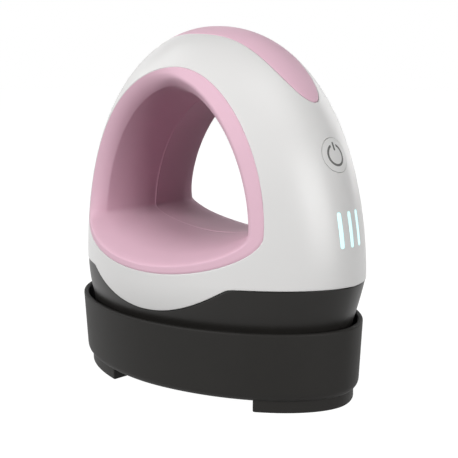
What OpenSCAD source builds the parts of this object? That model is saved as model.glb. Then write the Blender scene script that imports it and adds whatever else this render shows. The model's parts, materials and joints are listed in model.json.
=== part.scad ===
// Mini heat press with a loop handle, standing in its insulated safety stand.
// Millimetres. +X points to the nose with the power button, Y runs along the finger tunnel, +Z is up.
// The origin is on the ground, under the middle of the stand.

/* [Body] */
// Nose reach at the widest level
nose_reach = 62.66; // [58:0.01:66]
// Tail reach at the widest level
tail_reach = 57.34; // [54:0.01:60]
// Half width at the widest level
half_width = 40.04; // [38:0.01:42]
// Height of the crown
crown_z = 127.57; // [120:0.01:135]
// Level where the white shell meets the charcoal skirt at the nose and tail
waist_z = 42.27; // [40:0.01:44]
// Lowest level of the side lobes
lobe_z = 31.6; // [30:0.1:34]
// Place of the side lobes' lowest point along X
lobe_x = 3.5; // [0:0.5:6]
// How fast the lobes rise, per millimetre squared
lobe_rise = 0.01065; // [0.009:0.0005:0.012]
// Wall of the shell and the skirt
wall = 2.2; // [1.8:0.1:2.4]

/* [Finger tunnel] */
// Middle of the bezel along X
bezel_x = 6.1; // [5:0.1:7]
// Bezel reach towards the nose
bezel_nose = 39.0; // [37:0.1:40]
// Bezel reach towards the tail
bezel_tail = 46.3; // [44:0.1:47]
// Lowest, widest and highest level of the bezel
bezel_levels = [45.1, 59.9, 113.5];
// Middle of the seam ring along X
seam_x = -0.7; // [-2:0.1:1]
// Seam ring reach towards the nose
seam_nose = 32.3; // [30:0.1:34]
// Seam ring reach towards the tail
seam_tail = 31.0; // [29:0.1:32]
// Lowest, widest and highest level of the seam ring
seam_levels = [53.5, 60.5, 103.2];

/* [Skirt and stand] */
// Lowest edge of the skirt
skirt_z = 8.2; // [8:0.1:9]
// Half length of the stand at its rim
stand_half_x = 61.85; // [61:0.05:63]
// Half width of the stand at its rim
stand_half_y = 39.35; // [39:0.05:40]
// Height of the rim
rim_z = 27.8; // [26:0.1:29]
// Underside of the tray
tray_z = 4.0; // [3:0.1:5]
// Thickness of the tray's wall
stand_wall = 2.0; // [1.8:0.1:2.1]
// Thickness of the tray's floor
stand_floor = 2.4; // [2:0.1:2.6]
// Where the nose foot's inner face stands
nose_foot_x = 40; // [36:1:44]
// Where the tail foot's inner face stands
tail_foot_x = -20; // [-30:1:-16]

/* [Heating] */
// Thickness of the heat plate
plate_t = 6; // [5:0.5:6.5]
// Level of the plate's sole
sole_z = 7.6; // [7.4:0.1:7.8]
// Radius of the tubular element
element_r = 3.2; // [2.5:0.1:3.4]
// Half spacing of the element's straight runs
element_y = 17; // [15:0.5:17]

/* [Controls] */
// Level of the power button's middle
button_z = 85.1; // [83:0.1:87]
// Radius of the button cap
button_r = 5.8; // [5.5:0.1:6]
// Gap round the cap
button_gap = 0.3; // [0.3:0.05:0.4]
// Travel of the button
button_travel = 0.4; // [0.3:0.05:0.5]
// Tilt of the button's face
button_tilt = 21.4; // [20:0.1:23]
// Middle level of the light bars
bars_z = 61.15; // [60:0.05:62]
// Height of one light bar
bar_h = 11.9; // [11:0.1:13]
// Width of one light bar
bar_w = 1.7; // [1.5:0.1:2.2]
// Spacing of the light bars
bar_pitch = 4.6; // [4.4:0.1:5]

/* [Cord inlet] */
// Level of the inlet's axis
inlet_z = 50; // [49:0.5:51]
// Radius of the passage through the bushing
inlet_r = 3.0; // [2.5:0.1:3.2]

/* [Hidden] */

// Exponent of every level's outline: 2 would be an ellipse
outline_power = 1.86;
// Facets round the free-form bodies and up the dome
rim_steps = 56;
dome_steps = 16;
button_fn = 40;
bore_fn = 48;
fine_fn = 24;
eps = 0.01;
// Clearance of a screw or pin in its own hole, and the reach of a cut that goes right through a part
hole_play = 0.05;
through = 40;
// Threaded lengths and pan heads: shaft radius, head radius, head height
big_screw = [1.5, 2.8, 1.8];
small_screw = [1.25, 2.3, 1.5];
// Radius of the hole that each screw passes through
big_hole = 1.7;
small_hole = 1.5;
// Inset of the skirt behind the shell's edge, and how far the shell reaches below the waist line
skirt_inset = 0.25;
shell_lip = 0.02;
// Number of points round the tunnel, across the crest of its bezel and across its roll
tunnel_steps = 60;
crest_steps = 3;
roll_steps = 5;
// How full the roll into the tunnel is
roll_power = 1.8;
// The lining's section, as shares of the way to the seam ring and of the half width
strip_end = [0.24, 0.004];
crest_a = [0.34, 0.006];
crest_b = [0.39, 0.08];
crest_end = [0.604, 0.25];
edge_at = [0.66, 0.26];
// How far the lining's back follows its front, and the gap between fitted free-form parts
liner_back = 0.8;
fit_gap = 0.1;

// Levels and thicknesses inside the base
sheet_t = 0.8;
sheet_gap = 0.4;
shield_z = 20;
deck_z = 29;
deck_gap = 0.4;
deck_t = 2.4;
deck_top = deck_z + deck_t;
board_z = 36;
board_t = 1.6;
board_top = board_z + board_t;
board_x = [-30, 42];
board_half_y = 22;
plate_top = sole_z + plate_t;

plate_screw_spots = [[41, 9], [41, -9], [-42, 8], [-42, -8]];
chassis_screw_spots = [[12, 27], [12, -27], [-22, 25], [-22, -25]];
shell_screw_spots = [[49, 8], [49, -8], [-37, 17], [-37, -17]];
board_screw_spots = [[-26, 18], [-26, -18], [38, 18], [38, -18]];
// Where the element's straight runs end, towards the tail
element_tail_x = -26;
element_arc_x = 18;
pin_r = 1.2;
pin_h = 11;
// Pass-through holes of the deck for the two heater leads
lead_holes = [[-33, 8], [-33, -8]];
lead_hole_r = 2.2;
lead_r = 1.1;

// Signed power, used by every superellipse
function spow(v, e) = sign(v) * pow(abs(v), e);

// Closed outline with its own reach to the nose, to the tail and to the sides
function outline(nose, tail, side, steps = rim_steps, power = outline_power) = [
    for (i = [0 : steps - 1])
        let (a = 360 * i / steps, c = cos(a), s = sin(a))
            [(c > 0 ? nose : tail) * spow(c, 2 / power), side * spow(s, 2 / power)]
];

// Height above the waist as a fraction of the dome
function dome_t(z, inset) = min(1, max(0, (z - waist_z) / (crown_z - inset - waist_z)));

// Reach of the body at a level: nose, tail and side, for the surface set inwards by inset
function below(z) = max(0, waist_z - z);
function shoulder(z) =
    let (d = below(z), knee = waist_z - rim_z)
        d < knee ? 3.29 * pow(d / knee, 2.2) : 3.29 + 0.144 * (d - knee);
function nose_at(z, inset = 0) =
    (nose_reach - inset - 0.28 * below(z)) * pow(1 - pow(dome_t(z, inset), 1.88), 1 / 2.26);
function tail_at(z, inset = 0) =
    (tail_reach - inset - 0.055 * below(z)) * pow(1 - pow(dome_t(z, inset), 1.85), 1 / 2);
function side_at(z, inset = 0) =
    (half_width - inset - shoulder(z)) * pow(1 - pow(dome_t(z, inset), 3.36), 1 / 1.87);

// Half width of the dome at a place, and its reach at a level
function dome_y(x, z) =
    let (reach = x > 0 ? nose_at(z) : tail_at(z), u = min(1, abs(x) / max(reach, eps)))
        side_at(z) * pow(1 - pow(u, outline_power), 1 / outline_power);

// Triangles between rings of n points each, closed at both ends by the first and last ring
function ring_faces(rings, n) = concat(
    [[for (i = [n - 1 : -1 : 0]) i]],
    [for (r = [0 : rings - 2], i = [0 : n - 1])
        [r * n + i, r * n + (i + 1) % n, (r + 1) * n + i]],
    [for (r = [0 : rings - 2], i = [0 : n - 1])
        [r * n + (i + 1) % n, (r + 1) * n + (i + 1) % n, (r + 1) * n + i]],
    [[for (i = [0 : n - 1]) (rings - 1) * n + i]]
);

// Keeps a free-form solid as one faceted surface
module free_form() { resize([0, 0, 0]) children(); }

// The body's outer form, set inwards by inset, from z_low to the crown
skirt_levels = [rim_z, 30, 32, 34, 37, 40, waist_z];
module body_form(inset, z_low) {
    levels = concat(
        [z_low],
        [for (z = skirt_levels) if (z > z_low) z],
        [for (i = [1 : dome_steps - 1])
            let (t = sin(90 * i / dome_steps)) waist_z + t * (crown_z - inset - waist_z)]
    );
    top = crown_z - inset;
    n = rim_steps;
    count = len(levels);
    points = concat(
        [for (z = levels) for (p = outline(nose_at(z, inset), tail_at(z, inset), side_at(z, inset)))
            [p[0], p[1], z]],
        [[0, 0, top]]
    );
    sides = [for (r = [0 : count - 2], i = [0 : n - 1], k = [0, 1])
        k == 0
            ? [r * n + i, (r + 1) * n + i, r * n + (i + 1) % n]
            : [r * n + (i + 1) % n, (r + 1) * n + i, (r + 1) * n + (i + 1) % n]];
    cap = [for (i = [0 : n - 1]) [(count - 1) * n + i, count * n, (count - 1) * n + (i + 1) % n]];
    polyhedron(points, concat([[for (i = [0 : n - 1]) i]], sides, cap));
}

// Everything above the line between the shell and the skirt, seen along Y
function lobe_line(x) = min(waist_z, lobe_z + lobe_rise * pow(x - lobe_x, 2));
module above_lobe_line(drop = 0) {
    reach = 80;
    half = sqrt((waist_z - lobe_z) / lobe_rise);
    steps = 20;
    rotate([90, 0, 0])
        linear_extrude(2 * reach, center = true)
            polygon(concat(
                [[-reach, 2 * reach], [-reach, waist_z - drop]],
                [for (i = [0 : steps])
                    let (x = lobe_x - half + 2 * half * i / steps)
                        [x, lobe_line(x) - drop]],
                [[reach, waist_z - drop], [reach, 2 * reach]]
            ));
}

// Egg-shaped ring seen along Y, between the bezel (mix 0) and the seam ring (mix 1)
function blend(a, b, mix) = a + (b - a) * mix;
function egg_point(a, mix) =
    let (
        c = cos(a), s = sin(a),
        power = s > 0 ? blend(1.88, 1.75, mix) : blend(1.93, 1.65, mix),
        nose = blend(bezel_nose, seam_nose, mix),
        tail = blend(bezel_tail, seam_tail, mix),
        low = blend(bezel_levels[0], seam_levels[0], mix),
        mid = blend(bezel_levels[1], seam_levels[1], mix),
        high = blend(bezel_levels[2], seam_levels[2], mix)
    )
        [blend(bezel_x, seam_x, mix) + (c > 0 ? nose : tail) * spow(c, 2 / power),
         mid + (s > 0 ? high - mid : mid - low) * spow(s, 2 / power)];
module tunnel_cut(mix = 0) {
    rotate([90, 0, 0])
        linear_extrude(4 * half_width, center = true)
            polygon([for (i = [0 : tunnel_steps - 1]) egg_point(360 * i / tunnel_steps, mix)]);
}

// A disc-like frame whose axis is the button's normal: local +Z points out of the nose
module at_button(depth = 0) {
    x = nose_at(button_z);
    translate([x, 0, button_z])
        rotate([0, 90 - button_tilt, 0])
            translate([0, 0, -depth]) children();
}

// A screw standing on its tip, with a cross-slotted pan head at the top
module pan_screw(size, length) {
    head_r = size[1];
    head_h = size[2];
    slot_w = 0.6;
    slot_half = 0.6 * head_r;
    cylinder(r = size[0], h = length, $fn = bore_fn);
    translate([0, 0, length])
        difference() {
            cylinder(r = head_r, h = head_h, $fn = bore_fn);
            for (turn = [0, 90])
                rotate(turn)
                    translate([-slot_w / 2, -slot_half, head_h / 2])
                        cube([slot_w, 2 * slot_half, head_h]);
        }
}
// Upright cylinders at a list of places, for holes and for posts
module uprights(spots, z, r, depth = through) {
    for (p = spots)
        translate([p[0], p[1], z]) cylinder(r = r, h = depth, $fn = bore_fn);
}

// ---- stand ----

// The tray tapers downwards, by these amounts from its rim to its underside
tray_taper = [1.05, 1.9];
function tray_inset_x(z) = tray_taper[0] * (rim_z - z) / (rim_z - tray_z);
function tray_inset_y(z) = tray_taper[1] * (rim_z - z) / (rim_z - tray_z);
// A stack of rings, each a level and its extra inset
tray_steps = rim_steps + 8;
module tray_form(inset, levels) {
    n = tray_steps;
    points = [for (l = levels)
        for (p = outline(stand_half_x - tray_inset_x(l[0]) - inset - l[1],
                         stand_half_x - tray_inset_x(l[0]) - inset - l[1],
                         stand_half_y - tray_inset_y(l[0]) - inset - l[1], n))
            [p[0], p[1], l[0]]];
    faces = ring_faces(len(levels), n);
    polyhedron(points, [for (f = faces) [for (k = [len(f) - 1 : -1 : 0]) f[k]]]);
}
// A foot block that wraps round one end of the tray
foot_half = [59.1, 35.5];
foot_end = 70;
module foot_block(from_x, to_x) {
    foot_h = tray_z + 0.5;
    intersection() {
        linear_extrude(foot_h)
            polygon(outline(foot_half[0], foot_half[0], foot_half[1], tray_steps));
        translate([from_x, -half_width, 0])
            cube([to_x - from_x, 2 * half_width, foot_h]);
    }
}
module stand_shell() {
    fillet = 3;
    bottom = [for (a = [0 : 22.5 : 90]) [tray_z + fillet * (1 - cos(a)), fillet * (1 - sin(a))]];
    floor_z = tray_z + stand_floor;
    // The rim is rounded over between these two levels
    round_low = rim_z - 0.8;
    round_mid = rim_z - 0.25;
    color("#31302e")
        free_form()
            union() {
                difference() {
                    tray_form(0, concat(bottom, [[15, 0], [round_low, 0], [round_mid, 0.2], [rim_z, 0.7]]));
                    tray_form(stand_wall, [
                        [floor_z, 2], [floor_z + 0.6, 0.6], [floor_z + 2, 0],
                        [round_low, 0], [round_mid, -0.2], [rim_z, -0.55], [rim_z + 2, -0.55]
                    ]);
                }
                foot_block(nose_foot_x, foot_end);
                foot_block(-foot_end, tail_foot_x);
            }
}
// Four heat-proof pads that the hot plate rests on
pad_r = 5;
pad_x = [-34, 32];
pad_y = [-15, 15];
module rest_pads() {
    floor_top = tray_z + stand_floor;
    color("#8f3b32")
        for (x = pad_x, y = pad_y)
            translate([x, y, floor_top])
                cylinder(r = pad_r, h = sole_z - floor_top, $fn = bore_fn);
}

// ---- shell, skirt and soft parts ----

// The crown insert: thickness, ends, half width, and how much it swells over the middle and how far along
grip_t = 1.2;
grip_nose = 45.6;
grip_tail = -40;
grip_half = 9.4;
grip_swell = 2.6;
grip_swell_x = 14;
grip_low_z = 90;
grip_mid = (grip_nose + grip_tail) / 2;
grip_reach = (grip_nose - grip_tail) / 2;
// Half width of the crown insert, round at its ends
function grip_half_at(x) =
    let (u = (x - grip_mid) / grip_reach)
        (grip_half + grip_swell * exp(-pow(x / grip_swell_x, 2))) * sqrt(max(0, 1 - pow(abs(u), 5)));
module grip_cut(play) {
    steps = 26;
    xs = [for (i = [0 : steps]) grip_mid - grip_reach * cos(180 * i / steps)];
    translate([0, 0, grip_low_z])
        linear_extrude(through)
            offset(delta = play)
                polygon(concat(
                    [for (x = xs) [x, -grip_half_at(x)]],
                    [for (i = [steps - 1 : -1 : 1]) [xs[i], grip_half_at(xs[i])]]
                ));
}
// One light bar's round-ended slot, running out of the nose
bars_from_x = 40;
bar_play = 0.03;
module bar_outline(y, play) {
    r = bar_w / 2 + play;
    rise = (bar_h - bar_w) / 2;
    translate([bars_from_x, y, bars_z])
        rotate([90, 0, 90])
            linear_extrude(through)
                union() {
                    square([2 * r, 2 * rise], center = true);
                    for (side = [-1, 1])
                        translate([0, side * rise]) circle(r, $fn = 16);
                }
}
// Screw posts that a rib ties to the shell's wall at the nose and the tail
rib_t = 1.6;
module shell_posts() {
    post_h = 14;
    rib_low = 12;
    rib_h = 6;
    rib_reach = 22;
    for (p = shell_screw_spots)
        translate([p[0], p[1], deck_top])
            difference() {
                union() {
                    cylinder(r = 3, h = post_h, $fn = fine_fn);
                    translate([p[0] > 0 ? 0 : -rib_reach, -rib_t / 2, rib_low])
                        cube([rib_reach, rib_t, rib_h]);
                }
                translate([0, 0, -eps])
                    cylinder(r = big_screw[0] + hole_play, h = 10, $fn = fine_fn);
            }
}
module outer_shell() {
    color("#e9e8e6")
        free_form()
            difference() {
                union() {
                    difference() {
                        intersection() {
                            body_form(0, 30);
                            above_lobe_line(shell_lip);
                        }
                        body_form(wall, 20);
                        tunnel_cut();
                    }
                    intersection() {
                        shell_posts();
                        body_form(wall / 2, 20);
                    }
                }
                difference() {
                    grip_cut(0);
                    body_form(grip_t, 60);
                }
                at_button(6)
                    cylinder(r = button_r + button_gap, h = 12, $fn = button_fn);
                for (y = bar_places) bar_outline(y, 0);
                translate([bushing_x - 12, 0, inlet_z])
                    rotate([0, 90, 0])
                        cylinder(r = bushing_r + fit_gap, h = 20, $fn = 32);
            }
}
module top_grip() {
    color("#dfc0cc")
        free_form()
            intersection() {
                difference() {
                    body_form(0, 60);
                    body_form(grip_t, 58);
                }
                grip_cut(-fit_gap);
            }
}
// One half of the tunnel's lining, from the bezel in the shell's face to the seam in the middle.
// Its section is a list of [mix, depth share].
// Round most of the bezel it is a flush strip, a crest and a roll.
function bezier(p, t) =
    pow(1 - t, 3) * p[0] + 3 * t * pow(1 - t, 2) * p[1] + 3 * t * t * (1 - t) * p[2] + pow(t, 3) * p[3];
function roll_point_at(phi) = [pow(sin(phi), 2 / roll_power), 1 - pow(cos(phi), 2 / roll_power)];
function strip_section() =
    let (from = asin(pow(crest_end[0], roll_power / 2)))
        concat(
            [[0, 0]],
            [for (i = [0 : crest_steps]) bezier([strip_end, crest_a, crest_b, crest_end], i / crest_steps)],
            [for (i = [1 : roll_steps]) roll_point_at(from + (90 - from) * i / roll_steps)]
        );
// Along the tail side it is a slanted band that meets the wall in a crisp edge
function bowed(t, bow) = t + bow * t * (1 - t);
function edge_section() =
    concat(
        [for (i = [0 : crest_steps + 1])
            let (t = i / (crest_steps + 1)) [edge_at[0] * bowed(t, 0.3), edge_at[1] * t]],
        [for (i = [1 : roll_steps])
            let (t = i / roll_steps)
                [edge_at[0] + (1 - edge_at[0]) * bowed(t, 0.5), edge_at[1] + (1 - edge_at[1]) * t]]
    );
// How much of the crisp edge shows at an angle round the bezel
function ease(t) = let (k = min(1, max(0, t))) k * k * (3 - 2 * k);
function edge_share(a) = ease((a - 72) / 36) * ease((200 - a) / 32);
function liner_point(a, row, back) =
    let (
        mix = row[0] * (back ? liner_back : 1),
        p = egg_point(a, mix),
        depth = back ? wall : 0
    )
        [p[0], -(dome_y(p[0], p[1]) - depth) * (1 - row[1]), p[1]];
module tunnel_liner() {
    strip = strip_section();
    edge = edge_section();
    m = len(strip);
    k = 2 * m;
    n = tunnel_steps;
    points = [for (i = [0 : n - 1])
        let (a = 360 * i / n, rows = strip + (edge - strip) * edge_share(a))
            for (p = concat(
                [for (row = rows) liner_point(a, row, false)],
                [for (j = [m - 1 : -1 : 0]) liner_point(a, rows[j], true)]
            )) p];
    faces = [for (i = [0 : n - 1], j = [0 : k - 1], h = [0, 1])
        let (i2 = (i + 1) % n, j2 = (j + 1) % k)
            h == 0
                ? [i * k + j, i * k + j2, i2 * k + j]
                : [i * k + j2, i2 * k + j2, i2 * k + j]];
    polyhedron(points, faces);
}
module liner_near() { color("#dfc0cc") tunnel_liner(); }
module liner_far() { color("#dfc0cc") mirror([0, 1, 0]) tunnel_liner(); }

// Screw posts that a rib ties to the skirt's sides
module skirt_posts() {
    post_z = 22.5;
    rib_reach = 16;
    for (p = chassis_screw_spots)
        translate([p[0], p[1], post_z])
            difference() {
                union() {
                    cylinder(r = 2.8, h = deck_z - post_z, $fn = fine_fn);
                    translate([-rib_t / 2, p[1] > 0 ? 0 : -rib_reach, 0])
                        cube([rib_t, rib_reach, deck_z - post_z]);
                }
                translate([0, 0, 1])
                    cylinder(r = big_screw[0] + hole_play, h = 10, $fn = fine_fn);
            }
}
module base_skirt() {
    color("#32312f")
        free_form()
            difference() {
                union() {
                    difference() {
                        body_form(skirt_inset, skirt_z);
                        body_form(wall, skirt_z - 1);
                    }
                    intersection() {
                        skirt_posts();
                        body_form(wall / 2, skirt_z);
                    }
                }
                above_lobe_line(fit_gap);
            }
}

// ---- heating ----

// Reach of the plate to the nose, to the tail and to the sides
plate_reach = [50.0, 52.4, 30.9];
plate_steps = 48;
function plate_outline(less) =
    outline(plate_reach[0] - less, plate_reach[1] - less, plate_reach[2] - less, plate_steps);
module element_path(r) {
    for (y = [-element_y, element_y])
        translate([element_tail_x, y, plate_top])
            rotate([0, 90, 0])
                cylinder(r = r, h = element_arc_x - element_tail_x, $fn = bore_fn);
    translate([element_arc_x, 0, plate_top])
        rotate(-90)
            rotate_extrude(angle = 180, $fn = bore_fn)
                translate([element_y, 0]) circle(r, $fn = bore_fn);
}
module heat_plate() {
    color("#b9bbbd")
        difference() {
            translate([0, 0, sole_z])
                linear_extrude(plate_t) polygon(plate_outline(0));
            element_path(element_r + hole_play);
            for (y = [-element_y, element_y])
                translate([element_tail_x, y, plate_top])
                    sphere(element_r + hole_play, $fn = bore_fn);
            uprights(plate_screw_spots, plate_top - 4, big_screw[0] + hole_play, 5);
        }
}
module heating_element() {
    color("#8d8f92") {
        element_path(element_r);
        for (y = [-element_y, element_y])
            translate([element_tail_x, y, plate_top]) {
                sphere(element_r, $fn = bore_fn);
                cylinder(r = pin_r, h = pin_h, $fn = bore_fn);
            }
    }
}
// Holes that the stand-offs and the element's pins pass through
standoff_r = 3.4;
pin_hole_r = 3;
module sheet_holes(z) {
    uprights(plate_screw_spots, z - sheet_t, standoff_r + sheet_gap, 3 * sheet_t);
    pins = [for (side = [-1, 1]) [element_tail_x, side * element_y]];
    uprights(pins, z - sheet_t, pin_hole_r, 3 * sheet_t);
}
module sheet(z) {
    difference() {
        translate([0, 0, z]) linear_extrude(sheet_t) polygon(plate_outline(2));
        sheet_holes(z);
    }
}
// Places of the sensor and the thermal fuse on the plate, along X
sensor_x = -8;
fuse_x = 8;
module insulation_sheet() {
    z = plate_top + element_r + sheet_gap;
    color("#cfc4a4")
        difference() {
            sheet(z);
            translate([sensor_x, 0, z]) cylinder(r = 6, h = 4, center = true, $fn = bore_fn);
            translate([fuse_x, 0, z]) cube([16, 10, 4], center = true);
        }
}
module heat_shield() {
    color("#a7a9aa") sheet(shield_z);
}
module plate_standoffs() {
    color("#d9d4c4")
        for (p = plate_screw_spots)
            translate([p[0], p[1], plate_top])
                difference() {
                    cylinder(r = standoff_r, h = deck_z - plate_top, $fn = bore_fn);
                    translate([0, 0, -eps]) cylinder(r = 1.8, h = 20, $fn = bore_fn);
                }
}
module plate_screws() {
    grip = 3.5;
    color("#9a9a98")
        for (p = plate_screw_spots)
            translate([p[0], p[1], plate_top - grip])
                pan_screw(big_screw, deck_top - plate_top + grip);
}
module temperature_sensor() {
    color("#c9a25a")
        translate([sensor_x, 0, plate_top])
            difference() {
                union() {
                    cylinder(r = 4, h = 1, $fn = bore_fn);
                    cylinder(r = 2.2, h = 3.4, $fn = bore_fn);
                }
                translate([0, 0, 1.4]) cylinder(r = 1, h = 4, $fn = bore_fn);
            }
}
module thermal_fuse() {
    body_l = 10;
    lead_l = 3;
    color("#d8d8d6")
        translate([fuse_x, 0, plate_top + 1.8]) {
            rotate([0, 90, 0]) cylinder(r = 1.7, h = body_l, center = true, $fn = bore_fn);
            for (side = [-1, 1])
                translate([side * (body_l + lead_l) / 2, 0, 0])
                    rotate([0, 90, 0]) cylinder(r = 0.45, h = lead_l + eps, center = true, $fn = bore_fn);
        }
}

// ---- chassis and its screws ----

// The post that carries the cord clamp, and the places of the clamp's screws
cord_post_x = [-51, -45];
cord_post_half_y = 9;
clamp_screw_spots = [for (y = [-6, 6]) [(cord_post_x[0] + cord_post_x[1]) / 2, y]];
clamp_z = inlet_z - inlet_r - 0.4;
clamp_h = 2 * inlet_r + 3;
module chassis() {
    color("#4a4c4e")
        difference() {
            union() {
                translate([0, 0, deck_z])
                    linear_extrude(deck_t)
                        polygon(outline(nose_at(deck_z, wall) - deck_gap, tail_at(deck_z, wall) - deck_gap,
                                        side_at(deck_z, wall) - deck_gap, plate_steps));
                uprights(board_screw_spots, deck_top - eps, 3, board_z - deck_top + eps);
                translate([cord_post_x[0], -cord_post_half_y, deck_top - eps])
                    cube([cord_post_x[1] - cord_post_x[0], 2 * cord_post_half_y, clamp_z - deck_top + eps]);
            }
            for (spots = [plate_screw_spots, chassis_screw_spots, shell_screw_spots])
                uprights(spots, deck_z - 1, big_hole, 10);
            uprights(board_screw_spots, deck_top, small_screw[0] + hole_play, 10);
            uprights(lead_holes, deck_z - 1, lead_hole_r, 10);
            uprights(clamp_screw_spots, clamp_z - 8, small_screw[0] + hole_play, 10);
        }
}
module chassis_screws() {
    length = 7.2;
    color("#9a9a98")
        for (p = chassis_screw_spots)
            translate([p[0], p[1], deck_top - length]) pan_screw(big_screw, length);
}
// These enter from below the deck
module shell_screws() {
    length = 11;
    color("#9a9a98")
        for (p = shell_screw_spots)
            translate([p[0], p[1], deck_z + length])
                mirror([0, 0, 1]) pan_screw(big_screw, length);
}

// ---- power board ----

module power_board() {
    color("#2f6b47")
        difference() {
            translate([board_x[0], -board_half_y, board_z])
                cube([board_x[1] - board_x[0], 2 * board_half_y, board_t]);
            uprights(board_screw_spots, board_z - 1, small_hole, 4);
        }
}
module board_screws() {
    length = 5.5;
    color("#9a9a98")
        for (p = board_screw_spots)
            translate([p[0], p[1], board_top - length]) pan_screw(small_screw, length);
}
// Places of the components on the board: the corner of a block or the middle of a round one
terminal_at = [-28, -8];
transformer_at = [-16, -9];
relay_at = [5, -19];
film_capacitor_at = [5, 6];
electrolytic_at = [31, -11];
varistor_at = [-7, 15.5];
glass_fuse_at = [-17, -15];
buzzer_at = [32, 4];
module on_board(place, lift = 0) {
    translate([place[0], place[1], board_top + lift]) children();
}
// Two wire ways in its tail face, each under a clamping screw's well
module terminal_block() {
    size = [8, 16, 9];
    color("#3d6d9a")
        on_board(terminal_at)
            difference() {
                cube(size);
                for (y = [size[1] / 4, 3 * size[1] / 4]) {
                    translate([-1, y, 4]) rotate([0, 90, 0]) cylinder(r = 1.5, h = 6, $fn = bore_fn);
                    translate([4.5, y, 6.5]) cylinder(r = 1.8, h = 4, $fn = bore_fn);
                }
            }
}
// A winding between two flanges
module transformer() {
    side = 18;
    low_t = 2.5;
    high_t = 2;
    winding_h = 6;
    inset = 2;
    color("#6b5a3a")
        on_board(transformer_at) {
            cube([side, side, low_t]);
            translate([inset, inset, low_t - eps])
                cube([side - 2 * inset, side - 2 * inset, winding_h]);
            translate([0, 0, low_t + winding_h - 2 * eps])
                cube([side, side, high_t]);
        }
}
module relay() {
    color("#24486f") on_board(relay_at) cube([19, 15, 10]);
}
module film_capacitor() {
    color("#b39a3c") on_board(film_capacitor_at) cube([18, 8, 10.5]);
}
module electrolytic_capacitor() {
    can_h = 9.5;
    color("#2d2f52")
        on_board(electrolytic_at) {
            cylinder(r = 5, h = can_h, $fn = bore_fn);
            translate([0, 0, can_h - eps]) cylinder(r = 4.4, h = 0.5, $fn = bore_fn);
        }
}
// An upright disc on two leads
module varistor() {
    disc_r = 4.6;
    disc_t = 2.4;
    lead_h = 0.8;
    color("#2a63a8")
        on_board(varistor_at, disc_r + lead_h)
            rotate([90, 0, 0]) {
                cylinder(r = disc_r, h = disc_t, $fn = bore_fn);
                for (side = [-1, 1])
                    translate([side * 2.5, -disc_r, disc_t / 2])
                        rotate([90, 0, 0]) cylinder(r = 0.4, h = lead_h, $fn = 16);
            }
}
// A glass tube with an end cap and a foot at each end
module glass_fuse() {
    axis_h = 3;
    tube_l = 14;
    cap_l = 4;
    foot = [2, 2, 1];
    color("#c4cdd0")
        on_board(glass_fuse_at, axis_h) {
            rotate([0, 90, 0]) cylinder(r = 2.1, h = tube_l, $fn = bore_fn);
            for (x = [-1, tube_l + 1 - cap_l])
                translate([x, 0, 0])
                    rotate([0, 90, 0]) cylinder(r = 2.6, h = cap_l, $fn = bore_fn);
            for (x = [0, tube_l - foot[0]])
                translate([x, -foot[1] / 2, -axis_h]) cube(foot);
        }
}
module buzzer() {
    color("#1f1f20")
        on_board(buzzer_at)
            difference() {
                cylinder(r = 6, h = 6.5, $fn = bore_fn);
                translate([0, 0, 5]) cylinder(r = 1.2, h = 3, $fn = bore_fn);
            }
}

// ---- control board in the nose ----

// Depths here are measured inwards from the button's face, along its axis
board_depth = 10.5;
control_t = 1.2;
control_half_y = 8.5;
control_up = 9;
control_down = 31;
switch_side = 6.2;
switch_top = 7.1;
plunger_r = 1.6;
plunger_low = 9.0;
plunger_top = 6.1;
chip_side = 7;
chip_t = 1.4;
chip_down = 6;
// The cap has a flange that keeps it behind the shell, and a stem that reaches the switch
flange_r = 7;
flange_low = 4.3;
stem_low = 6.0;
// The guide's floor leaves the flange room to travel
guide_floor_t = 0.7;
guide_low = flange_low + button_travel + 0.5 + guide_floor_t;
module control_board() {
    color("#2f6b47")
        at_button(board_depth + control_t)
            translate([-control_up, -control_half_y, 0])
                cube([control_up + control_down, 2 * control_half_y, control_t]);
}
module controller_chip() {
    color("#1d1e20")
        at_button(board_depth + control_t + chip_t)
            translate([chip_down, -chip_side / 2, 0]) cube([chip_side, chip_side, chip_t]);
}
module switch_body() {
    color("#28292b")
        at_button(board_depth)
            difference() {
                translate([-switch_side / 2, -switch_side / 2, 0])
                    cube([switch_side, switch_side, board_depth - switch_top]);
                translate([0, 0, 0.9]) cylinder(r = plunger_r + 0.3, h = 6, $fn = bore_fn);
            }
}
module switch_plunger() {
    color("#d2b04c")
        at_button(plunger_low) cylinder(r = plunger_r, h = plunger_low - plunger_top, $fn = bore_fn);
}
// How far down the board the bars' middle lies from the button
bars_down = (button_z - board_depth * sin(button_tilt) - bars_z) / cos(button_tilt);
bar_places = [-bar_pitch, 0, bar_pitch];
module indicator_leds() {
    led = [1.6, 1.2, 0.6];
    color("#f3f3e4")
        at_button(board_depth)
            for (y = bar_places, step = [-3, 3])
                translate([bars_down + step - led[0] / 2, y - led[1] / 2, 0]) cube(led);
}
// A frame that keeps the light of the three bars apart
module light_guide() {
    frame = [13.2, 14.4, 2.6];
    window = [10.4, 2.2, 5];
    color("#e6e6e2")
        at_button(board_depth)
            difference() {
                translate([bars_down - frame[0] / 2, -frame[1] / 2, 0]) cube(frame);
                for (y = bar_places)
                    translate([bars_down - window[0] / 2, y - window[1] / 2, -1]) cube(window);
            }
}
module light_bars() {
    color("#d9fbfb")
        free_form()
            intersection() {
                difference() {
                    body_form(0, 50);
                    body_form(wall, 48);
                }
                for (y = bar_places) bar_outline(y, -bar_play);
            }
}
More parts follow.
